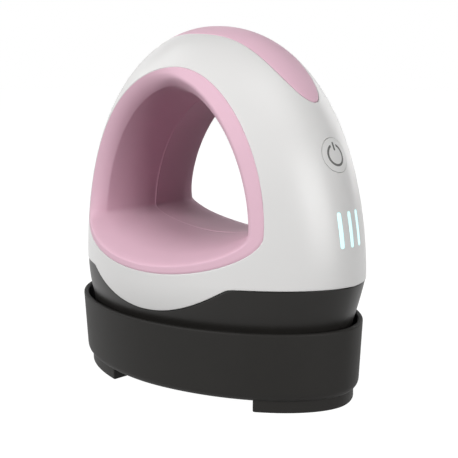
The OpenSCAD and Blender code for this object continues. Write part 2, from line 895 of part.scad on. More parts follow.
// A cup round the cap's flange, on two legs that stand on the control board
module button_guide() {
    leg_y = 6.5;
    color("#d8d7d4")
        at_button(guide_low) {
            difference() {
                cylinder(r = 8.4, h = 1.7, $fn = bore_fn);
                translate([0, 0, guide_floor_t]) cylinder(r = flange_r + 0.3, h = 3, $fn = bore_fn);
                translate([0, 0, -1]) cylinder(r = plunger_r + 0.3, h = 3, $fn = bore_fn);
            }
            for (y = [-leg_y, leg_y])
                translate([0, y, guide_low - board_depth])
                    cylinder(r = 1.2, h = board_depth - guide_low + eps, $fn = bore_fn);
        }
}

// Power symbol: an open ring with a short stroke in its gap
icon_r = 3.9;
icon_line = 0.8;
icon_gap = 1.3;
icon_stroke_l = 3.0;
icon_rise = 0.6;
icon_depth = 0.3;
module icon_outline() {
    union() {
        difference() {
            circle(icon_r, $fn = button_fn);
            circle(icon_r - icon_line, $fn = button_fn);
            translate([-2 * icon_r, -icon_gap]) square([2 * icon_r, 2 * icon_gap]);
        }
        translate([-icon_r - icon_rise, -icon_line / 2]) square([icon_stroke_l, icon_line]);
    }
}
module icon_prism() {
    at_button(3) linear_extrude(6) icon_outline();
}
module button_cap() {
    color("#e4e3e1")
        free_form()
            union() {
                difference() {
                    intersection() {
                        body_form(0, 60);
                        at_button(flange_low) cylinder(r = button_r, h = 8, $fn = button_fn);
                    }
                    difference() {
                        icon_prism();
                        body_form(icon_depth, 60);
                    }
                }
                at_button(flange_low) cylinder(r = flange_r, h = 0.8, $fn = button_fn);
                at_button(stem_low) cylinder(r = plunger_r, h = 2, $fn = fine_fn);
            }
}
module power_icon() {
    color("#6d6d6b")
        free_form()
            intersection() {
                difference() {
                    body_form(0, 60);
                    body_form(icon_depth, 60);
                }
                icon_prism();
            }
}

// ---- cord inlet and wiring ----

// The bushing has a collar outside the shell
bushing_x = -57.6;
bushing_r = 5.0;
collar_r = 6.4;
collar_t = 1.2;
module cord_bushing() {
    color("#2b2b2a")
        translate([bushing_x, 0, inlet_z])
            rotate([0, 90, 0])
                difference() {
                    union() {
                        translate([0, 0, -collar_t]) cylinder(r = collar_r, h = collar_t, $fn = bore_fn);
                        translate([0, 0, -eps]) cylinder(r = bushing_r, h = 6, $fn = bore_fn);
                    }
                    translate([0, 0, -3]) cylinder(r = inlet_r, h = 12, $fn = bore_fn);
                }
}
module cord_clamp() {
    color("#3a3b3d")
        difference() {
            translate([cord_post_x[0], -cord_post_half_y, clamp_z])
                cube([cord_post_x[1] - cord_post_x[0], 2 * cord_post_half_y, clamp_h]);
            translate([cord_post_x[0] - 2, 0, inlet_z])
                rotate([0, 90, 0]) cylinder(r = inlet_r + fit_gap, h = 10, $fn = bore_fn);
            uprights(clamp_screw_spots, clamp_z - 1, small_hole, clamp_h + 2);
        }
}
module clamp_screws() {
    length = 13;
    color("#9a9a98")
        for (p = clamp_screw_spots)
            translate([p[0], p[1], clamp_z + clamp_h - length])
                pan_screw(small_screw, length);
}

function unit(v) = v / norm(v);
// A round wire along a list of points; the hint keeps its rings from twisting
module wire(path, r) {
    sides = 8;
    n = len(path);
    side_hint = [0.23, 0.31, 0.12];
    points = [for (i = [0 : n - 1])
        let (
            t = unit(path[min(i + 1, n - 1)] - path[max(i - 1, 0)]),
            u = unit(cross(t, unit(side_hint))),
            w = cross(t, u)
        )
            for (k = [0 : sides - 1]) let (a = 360 * k / sides) path[i] + r * (cos(a) * u + sin(a) * w)];
    faces = ring_faces(n, sides);
    polyhedron(points, [for (f = faces) [for (k = [len(f) - 1 : -1 : 0]) f[k]]]);
}
// From each pin of the element, through the deck and into the terminal block
module lead_wires() {
    color("#b8392f")
        for (side = [-1, 1])
            wire([
                [-26, 17 * side, 24.7], [-26, 17 * side, 26], [-26.6, 16.2 * side, 27.1],
                [-28.5, 13.5 * side, 27.4], [-31.5, 9.6 * side, 27.5], [-32.8, 8.2 * side, 28.4],
                [-33, 8 * side, 30], [-33, 8 * side, 35], [-33, 7.4 * side, 38.6],
                [-32.6, 6 * side, 40.6], [-31, 4.6 * side, 41.5],
                [-29, 4 * side, 41.6], [-27.5, 4 * side, 41.6]
            ], lead_r);
}
// From the power board's nose end up to the control board
ribbon_w = 8;
module ribbon_cable() {
    color("#c9c9c4")
        translate([0, ribbon_w / 2, 0])
            rotate([90, 0, 0])
                linear_extrude(ribbon_w)
                    polygon([
                        [40, board_top], [41.2, board_top], [41.2, 41], [47.4, 47], [51.6, 54.6],
                        [51.2, 55.6], [50.7, 55.4], [46.6, 47.6], [40, 41.6]
                    ]);
}

stand_shell();
rest_pads();
outer_shell();
liner_near();
liner_far();
top_grip();
base_skirt();
heat_plate();
heating_element();
insulation_sheet();
heat_shield();
plate_standoffs();
plate_screws();
temperature_sensor();
thermal_fuse();
chassis();
chassis_screws();
shell_screws();
power_board();
board_screws();
terminal_block();
transformer();
relay();
film_capacitor();
electrolytic_capacitor();
varistor();
glass_fuse();
buzzer();
control_board();
controller_chip();
switch_body();
indicator_leds();
light_guide();
light_bars();
button_guide();
cord_bushing();
cord_clamp();
clamp_screws();
lead_wires();
ribbon_cable();
button_cap();
power_icon();
switch_plunger();
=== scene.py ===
import json
import math

import bmesh
import bpy
import numpy as np
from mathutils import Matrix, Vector


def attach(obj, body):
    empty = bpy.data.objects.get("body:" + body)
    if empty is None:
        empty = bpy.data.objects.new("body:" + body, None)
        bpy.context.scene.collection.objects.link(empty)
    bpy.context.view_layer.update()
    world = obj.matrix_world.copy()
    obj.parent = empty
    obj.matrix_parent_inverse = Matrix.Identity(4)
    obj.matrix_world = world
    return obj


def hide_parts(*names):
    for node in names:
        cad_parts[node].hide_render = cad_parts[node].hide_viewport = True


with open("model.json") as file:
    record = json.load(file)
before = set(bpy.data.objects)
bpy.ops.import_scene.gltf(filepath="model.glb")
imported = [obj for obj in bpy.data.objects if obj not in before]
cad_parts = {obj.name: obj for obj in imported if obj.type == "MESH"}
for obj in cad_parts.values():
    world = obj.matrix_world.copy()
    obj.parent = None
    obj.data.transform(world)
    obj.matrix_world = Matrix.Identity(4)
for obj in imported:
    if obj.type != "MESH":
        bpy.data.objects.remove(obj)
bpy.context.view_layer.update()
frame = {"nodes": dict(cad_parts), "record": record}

MM = 0.001

# ---------------------------------------------------------------- the design's own sizes, in millimetres
POWER = 1.86                      # exponent of every level's outline; 2 would be an ellipse
NOSE, TAIL, SIDE = 62.66, 57.34, 40.04
CROWN_Z, WAIST_Z, RIM_Z = 127.57, 42.27, 27.8
# how the dome closes towards the crown on each side: the power of the height, then of what is left
DOME_NOSE, DOME_TAIL, DOME_SIDE = (1.88, 1 / 2.26), (1.85, 0.5), (3.36, 1 / 1.87)
NOSE_TAPER, TAIL_TAPER = 0.28, 0.055              # how fast the ends draw in below the waist
SHOULDER, SHOULDER_POWER, SKIRT_TAPER = 3.29, 2.2, 0.144      # how the sides do
LOBE_Z, LOBE_X, LOBE_RISE, LOBE_SOFT = 31.6, 3.5, 0.01065, 0.9
WALL = 2.2
EGG = {                           # the tunnel's outline at the bezel and at the seam in its middle
    "x": (6.1, -0.7), "nose": (39.0, 32.3), "tail": (46.3, 31.0),
    "low": (45.1, 53.5), "mid": (59.9, 60.5), "high": (113.5, 103.2),
    "upper": (1.88, 1.75), "lower": (1.93, 1.65),
}
ROLL_POWER = 1.8                  # how full the roll from the bezel into the tunnel is
STRIP_END, CREST_A, CREST_B, CREST_END = (0.24, 0.004), (0.34, 0.006), (0.39, 0.08), (0.604, 0.25)
EDGE_AT = (0.66, 0.26)            # where the band on the tail side meets the wall in an edge
EDGE_FADE = ((72, 36), (200, 32))  # the degrees where that edge fades in and out, and over how many
BAND_BOW, WALL_BOW = 0.3, 0.5     # how much the band and the wall beside that edge bulge
LINER_BACK = 0.8                  # share of the front's way inwards that the liner's back takes
LINER_BACK_ROWS = (-1, -8, -20, -34, -45, 0)      # the rows of the front that the back repeats
LIP_ROUND, MIX_WIDTH = 0.22, 10.0                 # the lip's rounding, and the liner's width for it
SEAM, MIDDLE_GAP = 0.4, 0.005
SEAM_BEAD = ((1, 0), (0.7, 0.12), (0.3, 0.45), (0, 0.5))      # place and height, as shares of SEAM
STRIP_ROWS, CREST_ROWS, ROLL_ROWS = 6, 22, 40
FLUSH_GAP, LOBE_GAP, WINDOW_GAP, BAR_GAP = 0.06, 0.12, 0.03, 0.02    # from a shared outline to each edge
BUTTON_Z, BUTTON_TILT, BUTTON_R = 85.1, math.radians(21.4), 5.8
BUTTON_GAP, CAP_GROW = 0.3, 0.14                  # how far the hole and the cap pass BUTTON_R
BAR_Z, BAR_H, BAR_W, BAR_PITCH = 61.15, 11.9, 1.7, 4.6
ICON_R, ICON_LINE, ICON_GAP, ICON_STROKE, ICON_RISE = 3.9, 0.8, 1.3, 3.0, 0.6
GRIP_NOSE, GRIP_TAIL, GRIP_HALF = 45.6, -40.0, 9.4
GRIP_SWELL, GRIP_SWELL_LENGTH, GRIP_POWER = 2.6, 14, 5
INLET_Z, INLET_HOLE = 50.0, 5.1
STAND_X, STAND_Y, TRAY_Z, STAND_WALL, STAND_FLOOR = 61.84, 39.35, 4.0, 2.0, 2.4
STAND_DRAW_X, STAND_DRAW_Y = 1.05, 1.9            # how much narrower the tray is at its bottom
FOOT_X, FOOT_Y, NOSE_FOOT_X, TAIL_FOOT_X = 59.1, 35.5, 40.0, -20.0
PAST_END = 70                                     # beyond both ends of the stand
SKIRT_Z, SKIRT_INSET = 8.2, 0.25
NOSE_PART_X, TAIL_PART_X, CROWN_PART_Z = 30, -30, 90          # where the nose, tail and crown begin
ELSEWHERE = 20.0                  # the distance that an outline on one of them gives outside it
NUDGE = 0.02                      # the step that slopes are measured over
TINY = 1e-9
SHARP = math.radians(40)          # edges that bend more than this are shaded as edges

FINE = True
AROUND = 400 if FINE else 200
UPWARD = 150 if FINE else 80


# ---------------------------------------------------------------- shape formulas
def signed_power(value, power):
    return np.sign(value) * np.abs(value) ** power


def blend(pair, mix):
    return pair[0] + (pair[1] - pair[0]) * mix


def dome_height(z, inset=0.0):
    """Share of the way from the waist to the crown."""
    return np.clip((z - WAIST_Z) / (CROWN_Z - inset - WAIST_Z), 0, 1)


def shoulder(z):
    """How much narrower the skirt is than the waist, at a level below it."""
    drop = np.maximum(0, WAIST_Z - z)
    knee = WAIST_Z - RIM_Z
    return np.where(drop < knee, SHOULDER * (drop / knee) ** SHOULDER_POWER,
                    SHOULDER + SKIRT_TAPER * (drop - knee))


def reach(z, inset=0.0):
    """Reach of the body to the nose, the tail and the side at a level."""
    drop = np.maximum(0, WAIST_Z - z)
    t = dome_height(z, inset)
    nose = (NOSE - inset - NOSE_TAPER * drop) * (1 - t ** DOME_NOSE[0]) ** DOME_NOSE[1]
    tail = (TAIL - inset - TAIL_TAPER * drop) * (1 - t ** DOME_TAIL[0]) ** DOME_TAIL[1]
    side = (SIDE - inset - shoulder(z)) * (1 - t ** DOME_SIDE[0]) ** DOME_SIDE[1]
    return nose, tail, side


def body_point(angle, z, inset=0.0):
    """The body's surface at an angle round it and a level."""
    nose, tail, side = reach(z, inset)
    c, s = np.cos(angle), np.sin(angle)
    x = np.where(c > 0, nose, tail) * signed_power(c, 2 / POWER)
    y = side * signed_power(s, 2 / POWER)
    return np.stack([x, y, z + 0 * x], -1)


def body_y(x, z):
    """Half width of the body at a place."""
    nose, tail, side = reach(z)
    u = np.clip(np.abs(x) / np.maximum(np.where(x > 0, nose, tail), TINY), 0, 1)
    return side * (1 - u ** POWER) ** (1 / POWER)


def body_normal(points):
    """Outward direction of the body's surface near each point."""
    def level(p):
        nose, tail, side = reach(p[:, 2])
        long_way = np.where(p[:, 0] > 0, nose, tail)
        return ((np.abs(p[:, 0]) / np.maximum(long_way, 1e-3)) ** POWER
                + (np.abs(p[:, 1]) / np.maximum(side, 1e-3)) ** POWER) ** (1 / POWER)
    slope = np.zeros_like(points)
    for k in range(3):
        move = np.zeros(3)
        move[k] = NUDGE
        low = points - move
        high = points + move
        high[:, 2] = np.minimum(high[:, 2], CROWN_Z - 1e-4)
        low[:, 2] = np.minimum(low[:, 2], CROWN_Z - 2e-3)
        slope[:, k] = (level(high) - level(low)) / np.maximum(high[:, k] - low[:, k], 1e-4)
    length = np.linalg.norm(slope, axis=1, keepdims=True)
    normal = slope / np.maximum(length, TINY)
    normal[points[:, 2] > CROWN_Z - NUDGE] = (0, 0, 1)
    return normal


# ---------------------------------------------------------------- distances to the outlines on the body
def slope_distance(field, a, b):
    """First-order distance to the line field = 0 in the plane of a and b."""
    value = field(a, b)
    da = (field(a + NUDGE, b) - field(a - NUDGE, b)) / (2 * NUDGE)
    db = (field(a, b + NUDGE) - field(a, b - NUDGE)) / (2 * NUDGE)
    return value / np.maximum(np.hypot(da, db), 1e-6)


def egg_field(x, z, mix=0.0):
    """Below zero inside the tunnel's outline at a mix of its two ends."""
    dx = x - blend(EGG["x"], mix)
    mid = blend(EGG["mid"], mix)
    dz = z - mid
    wide = np.where(dx > 0, blend(EGG["nose"], mix), blend(EGG["tail"], mix))
    high = np.where(dz > 0, blend(EGG["high"], mix) - mid, mid - blend(EGG["low"], mix))
    power = np.where(dz > 0, blend(EGG["upper"], mix), blend(EGG["lower"], mix))
    return ((np.abs(dx) / wide) ** power + (np.abs(dz) / high) ** power) ** (1 / power) - 1


def outside_tunnel(p):
    return slope_distance(egg_field, p[:, 0], p[:, 2])


def lobe_line(x):
    """The shell's lower edge: level at the nose and tail, with a lobe down each side."""
    rise = LOBE_Z + LOBE_RISE * (x - LOBE_X) ** 2
    return (rise + WAIST_Z - np.sqrt((rise - WAIST_Z) ** 2 + LOBE_SOFT ** 2)) / 2


def above_lobe(p):
    return slope_distance(lambda x, z: z - lobe_line(x), p[:, 0], p[:, 2])


def grip_field(x, y):
    """Below zero inside the crown insert's outline from above."""
    middle = (GRIP_NOSE + GRIP_TAIL) / 2
    half = (GRIP_NOSE - GRIP_TAIL) / 2
    u = np.abs(x - middle) / half
    wide = GRIP_HALF + GRIP_SWELL * np.exp(-(x / GRIP_SWELL_LENGTH) ** 2)
    return u ** GRIP_POWER + (np.abs(y) / wide) ** 2 - 1


def outside_grip(p):
    flat = slope_distance(grip_field, p[:, 0], p[:, 1])
    return np.where(p[:, 2] > CROWN_PART_Z, flat, ELSEWHERE)


BUTTON_UP = np.array([-math.sin(BUTTON_TILT), 0, math.cos(BUTTON_TILT)])
BUTTON_AT = np.array([float(reach(np.array(BUTTON_Z))[0]), 0, BUTTON_Z])


def button_plane(p):
    """Place in the plane of the button: sideways and upwards."""
    away = p - BUTTON_AT
    return away[:, 1], away @ BUTTON_UP


def outside_button(p):
    across, up = button_plane(p)
    far = np.hypot(across, up) - BUTTON_R
    return np.where(p[:, 0] > NOSE_PART_X, far, ELSEWHERE)


def outside_bar(p, y):
    along = np.maximum(np.abs(p[:, 2] - BAR_Z) - (BAR_H - BAR_W) / 2, 0)
    return np.where(p[:, 0] > NOSE_PART_X, np.hypot(along, p[:, 1] - y) - BAR_W / 2, ELSEWHERE)


def outside_inlet(p):
    return np.where(p[:, 0] < TAIL_PART_X, np.hypot(p[:, 1], p[:, 2] - INLET_Z) - INLET_HOLE, ELSEWHERE)


# ---------------------------------------------------------------- mesh of a patch of the body
class Patch:
    """A patch of the body's surface. It is cut along outlines, its edges are rounded, and it gets a back."""

    ROUNDING = (1.0, 0.6, 0.3, 0.1, 0.0)      # the rows of an edge, as shares of its radius
    LEAST_SHARE = 0.002                       # no cut comes closer to a corner than this

    def __init__(self, angles, levels, inset=0.0):
        self.inset = inset
        closed = abs(angles[-1] - angles[0]) > 2 * math.pi - 1e-6
        if closed:
            angles = angles[:-1]
        self.params = [(a, z) for z in levels for a in angles]
        n = len(angles)
        around = n if closed else n - 1
        self.faces = []
        for row in range(len(levels) - 1):
            for i in range(around):
                j = (i + 1) % n
                self.faces.append([row * n + i, row * n + j, (row + 1) * n + j, (row + 1) * n + i])
        if levels[-1] > CROWN_Z - inset - 1e-3:
            self.weld_crown((len(levels) - 1) * n)
        self.edges = []

    def weld_crown(self, first):
        """The top row is one point: its quads become triangles."""
        for face in self.faces:
            for k, v in enumerate(face):
                if v >= first:
                    face[k] = first
        self.faces = [list(dict.fromkeys(f)) for f in self.faces]
        del self.params[first + 1:]

    def points(self):
        a, z = np.array(self.params).T
        return body_point(a, z, self.inset)

    def between(self, i, j, share):
        """Angle and level of a place on the way from corner i to corner j."""
        (a1, z1), (a2, z2) = self.params[i], self.params[j]
        if z1 > CROWN_Z - self.inset - 1e-3:
            a1 = a2
        if z2 > CROWN_Z - self.inset - 1e-3:
            a2 = a1
        turn = (a2 - a1 + math.pi) % (2 * math.pi) - math.pi
        return a1 + turn * share, z1 + (z2 - z1) * share

    def cut(self, field, level):
        """Splits the faces along field = level."""
        value = field(self.points()) - level
        value[np.abs(value) < 1e-6] = 0
        made = {}

        def crossing(i, j):
            key = (min(i, j), max(i, j))
            if key not in made:
                low, high = key
                share = value[low] / (value[low] - value[high])
                for _ in range(2):
                    a, z = self.between(low, high, share)
                    here = float(field(body_point(np.array([a]), np.array([z]), self.inset))[0]) - level
                    slope = value[high] - value[low]
                    share = min(max(share - here / slope, self.LEAST_SHARE), 1 - self.LEAST_SHARE)
                self.params.append(self.between(low, high, share))
                made[key] = len(self.params) - 1
            return made[key]

        signs = np.sign(value)
        kept = []
        for face in self.faces:
            side = [signs[v] for v in face]
            if min(side) >= 0 or max(side) <= 0:
                kept.append(face)
                continue
            above, below = [], []
            for k, v in enumerate(face):
                w = face[(k + 1) % len(face)]
                if signs[v] >= 0:
                    above.append(v)
                if signs[v] <= 0:
                    below.append(v)
                if signs[v] * signs[w] < 0:
                    c = crossing(v, w)
                    above.append(c)
                    below.append(c)
            kept += [f for f in (above, below) if len(f) > 2]
        self.faces = kept

    def trim(self, field, radius):
        """Keeps field > 0 and rounds the edge there."""
        for share in self.ROUNDING:
            self.cut(field, radius * share)
        points = self.points()
        value = field(points)
        self.faces = [f for f in self.faces if np.mean(value[f]) > 0]
        self.edges.append((field, radius))

    def build(self, name, thickness=WALL, lift=0.0):
        """Makes the object: the rounded front, a back, and walls between them."""
        used = sorted({v for f in self.faces for v in f})
        number = {v: i for i, v in enumerate(used)}
        points = self.points()[used]
        normals = body_normal(points)
        depth = np.full(len(points), -lift)
        for field, radius in self.edges:
            away = np.clip(field(points), 0, radius)
            round_off = radius - np.sqrt(np.maximum(radius ** 2 - (radius - away) ** 2, 0))
            depth = np.maximum(depth, round_off - lift)
        front = points - normals * depth[:, None]
        back = points - normals * thickness
        faces = [[number[v] for v in f] for f in self.faces]
        count = len(points)
        seen = {}
        for f in faces:
            for k, v in enumerate(f):
                w = f[(k + 1) % len(f)]
                seen[(v, w)] = seen.get((v, w), 0) + 1
        rim = [(v, w) for (v, w) in seen if (w, v) not in seen]
        solid = faces + [[count + v for v in reversed(f)] for f in faces]
        solid += [[w, v, count + v, count + w] for v, w in rim]
        return make_object(name, np.concatenate([front, back]), solid)


def make_object(name, points, faces):
    """A smooth mesh object from points in millimetres, with its sharp edges marked."""
    mesh = bpy.data.meshes.new(name)
    mesh.from_pydata([tuple(p) for p in np.asarray(points) * MM], [], faces)
    mesh.validate()
    obj = bpy.data.objects.new(name, mesh)
    bpy.context.scene.collection.objects.link(obj)
    bm = bmesh.new()
    bm.from_mesh(mesh)
    bmesh.ops.remove_doubles(bm, verts=bm.verts, dist=1e-7)
    bmesh.ops.dissolve_degenerate(bm, edges=bm.edges, dist=1e-7)
    bm.normal_update()
    for edge in bm.edges:
        edge.smooth = not (edge.is_manifold and edge.calc_face_angle(0) > SHARP)
    for face in bm.faces:
        face.smooth = True
    bm.to_mesh(mesh)
    bm.free()
    return obj


def dome_levels(low, count):
    """Levels from low to the crown, closer together towards the crown."""
    rise = [WAIST_Z + math.sin(math.pi / 2 * i / count) * (CROWN_Z - WAIST_Z) for i in range(count + 1)]
    skirt = np.arange(low, WAIST_Z - 0.2, 0.7)
    return sorted(set(list(skirt) + [z for z in rise if z >= low]))


def nose_patch(half_turn, columns, low, high, rows):
    """A fine patch of the body in the middle of the nose."""
    return Patch(np.linspace(-half_turn, half_turn, columns), list(np.linspace(low, high, rows)))


FULL_TURN = np.linspace(0, 2 * math.pi, AROUND + 1)


# ---------------------------------------------------------------- the press's visible pieces
def outer_shell():
    patch = Patch(FULL_TURN, dome_levels(30.5, UPWARD))
    patch.trim(above_lobe, radius=0.35)
    patch.trim(lambda p: outside_tunnel(p) - FLUSH_GAP, radius=0.22)
    patch.trim(lambda p: outside_grip(p) - FLUSH_GAP, radius=0.22)
    patch.trim(lambda p: outside_button(p) - BUTTON_GAP, radius=0.12)
    for i in (-1, 0, 1):
        patch.trim(lambda p: outside_bar(p, i * BAR_PITCH) - WINDOW_GAP, radius=0.08)
    patch.trim(outside_inlet, radius=0.25)
    return patch.build("white_shell")


def top_grip():
    patch = Patch(FULL_TURN, dome_levels(88, UPWARD * 2))
    patch.trim(lambda p: -outside_grip(p) - FLUSH_GAP, radius=0.25)
    return patch.build("soft_top_grip", thickness=1.2)


def base_skirt():
    wide_rows = np.arange(9, 27, 1.5)
    close_rows = np.arange(27, 43.5, 0.5)
    patch = Patch(FULL_TURN, [SKIRT_Z, *wide_rows, *close_rows], SKIRT_INSET)
    patch.trim(lambda p: -above_lobe(p) - LOBE_GAP, radius=0.3)
    patch.trim(lambda p: p[:, 2] - SKIRT_Z - 0.01, radius=0.5)
    return patch.build("lower_skirt")


def button_cap():
    patch = nose_patch(0.6, 90, 76, 94, 80)
    patch.trim(lambda p: CAP_GROW - outside_button(p), radius=0.12)
    return patch.build("button_cap_face", thickness=2.6)


def icon_field(p):
    """Distance inside the power symbol: an open ring with a stroke in its gap."""
    across, up = button_plane(p)
    half = ICON_LINE / 2
    ring = half - np.abs(np.hypot(across, up) - (ICON_R - half))
    ring = np.minimum(ring, np.where(up > 0, np.abs(across) - ICON_GAP, ELSEWHERE))
    middle = ICON_R + ICON_RISE - ICON_STROKE / 2
    along = np.maximum(np.abs(up - middle) - (ICON_STROKE / 2 - half), 0)
    stroke = half - np.hypot(along, across)
    return np.maximum(ring, stroke)


def power_icon():
    patch = nose_patch(0.35, 150, 80, 91, 170)
    patch.trim(icon_field, radius=0.04)
    return patch.build("printed_power_icon", thickness=0.2, lift=0.03)


def light_bar(i):
    patch = nose_patch(0.4, 160, 54, 69, 110)
    patch.trim(lambda p: -outside_bar(p, i * BAR_PITCH) - BAR_GAP, radius=0.1)
    return patch.build(f"light_bar_{i + 2}", thickness=2.0)


def egg_ring(angle, mix):
    """The tunnel's outline at a mix of its two ends."""
    c, s = np.cos(angle), np.sin(angle)
    mid = blend(EGG["mid"], mix)
    power = np.where(s > 0, blend(EGG["upper"], mix), blend(EGG["lower"], mix))
    wide = np.where(c > 0, blend(EGG["nose"], mix), blend(EGG["tail"], mix))
    high = np.where(s > 0, blend(EGG["high"], mix) - mid, mid - blend(EGG["low"], mix))
    x = blend(EGG["x"], mix) + wide * signed_power(c, 2 / power)
    z = mid + high * signed_power(s, 2 / power)
    return x, z


def ease(t):
    """From 0 to 1, slow at both ends."""
    t = np.clip(t, 0, 1)
    return t * t * (3 - 2 * t)


def bezier(corners, t):
    """Points of a cubic curve."""
    a, b, c, d = (np.array(k) for k in corners)
    t = np.asarray(t)[:, None]
    return (1 - t) ** 3 * a + 3 * t * (1 - t) ** 2 * b + 3 * t * t * (1 - t) * c + t ** 3 * d


def strip_section():
    """The liner's section as (mix, depth share): a flush strip, a crest and a roll to the seam."""
    strip = np.linspace((0, 0), STRIP_END, STRIP_ROWS + 1)[:-1]
    crest = bezier((STRIP_END, CREST_A, CREST_B, CREST_END), np.linspace(0, 1, CREST_ROWS))
    start = math.asin(CREST_END[0] ** (ROLL_POWER / 2))
    phi = np.linspace(start, math.pi / 2, ROLL_ROWS + 1)[1:]
    roll = np.stack([np.sin(phi) ** (2 / ROLL_POWER), 1 - np.abs(np.cos(phi)) ** (2 / ROLL_POWER)], -1)
    return np.concatenate([strip, crest, roll])


def bowed(t, bow):
    """From 0 to 1, with a bulge on the way."""
    return t + bow * t * (1 - t)


def edge_section():
    """The section on the tail side: a slanted band that meets the wall in a crisp edge."""
    mix, depth = EDGE_AT
    t = np.linspace(0, 1, STRIP_ROWS + CREST_ROWS)
    band = np.stack([mix * bowed(t, BAND_BOW), depth * t], -1)
    t = np.linspace(0, 1, ROLL_ROWS + 1)[1:]
    wall = np.stack([mix + (1 - mix) * bowed(t, WALL_BOW), depth + (1 - depth) * t], -1)
    return np.concatenate([band, wall])


def edge_share(angle):
    """How much of the crisp edge shows at an angle round the bezel."""
    degrees = np.degrees(angle)
    (first, fade_in), (last, fade_out) = EDGE_FADE
    return ease((degrees - first) / fade_in) * ease((last - degrees) / fade_out)


def even_angles(steps):
    """Angles round the bezel that are evenly spaced along it."""
    dense = np.linspace(0, 2 * math.pi, 8001)
    x, z = egg_ring(dense, 0.0)
    length = np.concatenate([[0], np.cumsum(np.hypot(np.diff(x), np.diff(z)))])
    return np.interp(np.linspace(0, length[-1], steps + 1)[:-1], length, dense)


def tunnel_liner(name, side):
    """One soft half of the tunnel, from the bezel to the seam; side is -1 near, +1 far."""
    angles = even_angles(AROUND)
    strip, edge = strip_section(), edge_section()
    share = edge_share(angles)[:, None, None]
    section = strip[None] * (1 - share) + edge[None] * share
    rows = []
    for r in range(len(strip)):
        mix, depth = section[:, r, 0], section[:, r, 1]
        x, z = egg_ring(angles, mix)
        points = np.stack([x, body_y(x, z) * (1 - depth), z], -1)
        inward = np.mean(mix) * MIX_WIDTH
        if inward < LIP_ROUND:
            drop = LIP_ROUND - math.sqrt(LIP_ROUND ** 2 - (LIP_ROUND - inward) ** 2)
            points -= body_normal(points) * drop
        rows.append(points)
    middle = rows.pop()
    x, z = egg_ring(angles, 1.0)
    grow = np.stack([x - EGG["x"][1], 0 * x, z - EGG["mid"][1]], -1)
    grow /= np.linalg.norm(grow, axis=1, keepdims=True)
    for along, rise in SEAM_BEAD:
        row = middle - grow * SEAM * rise
        row[:, 1] = max(SEAM * along, MIDDLE_GAP)
        rows.append(row)
    for r in LINER_BACK_ROWS:
        mix, depth = section[:, r, 0] * LINER_BACK, section[:, r, 1]
        x, z = egg_ring(angles, mix)
        y = np.maximum((body_y(x, z) - WALL) * (1 - depth), MIDDLE_GAP)
        rows.append(np.stack([x, y, z], -1))
    n, m = len(angles), len(rows)
    points = np.concatenate(rows)
    points[:, 1] *= side
    faces = []
    for r in range(m):
        s = (r + 1) % m
        for i in range(n):
            j = (i + 1) % n
            quad = [r * n + i, r * n + j, s * n + j, s * n + i]
            faces.append(quad if side > 0 else quad[::-1])
    return make_object(name, points, faces)


# ---------------------------------------------------------------- the stand
def outline(long_half, wide_half, steps):
    """The stand's outline from above, as x and y."""
    a = np.linspace(0, 2 * math.pi, steps + 1)[:-1]
    return long_half * signed_power(np.cos(a), 2 / POWER), wide_half * signed_power(np.sin(a), 2 / POWER)


def tray_ring(z, inset):
    """The tray's outline at a level; its sides draw in towards the bottom."""
    share = (RIM_Z - z) / (RIM_Z - TRAY_Z)
    x, y = outline(STAND_X - STAND_DRAW_X * share - inset, STAND_Y - STAND_DRAW_Y * share - inset, AROUND)
    return np.stack([x, y, np.full(AROUND, z)], -1)


def loft(name, rings):
    """A closed form through rings of equal length, capped at both ends."""
    n = len(rings[0])
    points = np.concatenate(rings)
    faces = [list(reversed(range(n)))]
    for r in range(len(rings) - 1):
        for i in range(n):
            j = (i + 1) % n
            faces.append([r * n + i, r * n + j, (r + 1) * n + j, (r + 1) * n + i])
    faces.append([(len(rings) - 1) * n + i for i in range(n)])
    return make_object(name, points, faces)


def arc(radius, start, end, count=8):
    """Points along a rounded corner, measured from its centre."""
    for k in range(count + 1):
        a = start + (end - start) * k / count
        yield radius * math.cos(a), radius * math.sin(a)


def stand_tray():
    """The tray: out round its bottom edge, up its side, over its lip and down to its floor."""
    fillet, lip, floor_round = 3.0, 0.7, 2.2
    rings = []
    for c, s in arc(fillet, -math.pi / 2, 0, 10):
        rings.append(tray_ring(TRAY_Z + fillet + s, fillet - c))
    for z in np.linspace(9, RIM_Z - lip - 0.5, 12):
        rings.append(tray_ring(z, 0))
    for c, s in arc(lip, 0, math.pi / 2):
        rings.append(tray_ring(RIM_Z - lip + s, lip - c))
    for c, s in arc(lip, math.pi / 2, math.pi):
        rings.append(tray_ring(RIM_Z - lip + s, STAND_WALL - lip - c))
    inner_floor = TRAY_Z + STAND_FLOOR
    for z in np.linspace(RIM_Z - lip - 1, inner_floor + floor_round + 1, 8):
        rings.append(tray_ring(z, STAND_WALL))
    for c, s in arc(floor_round, 0, -math.pi / 2):
        rings.append(tray_ring(inner_floor + floor_round + s, STAND_WALL + floor_round - c))
    return loft("stand_tray", rings)


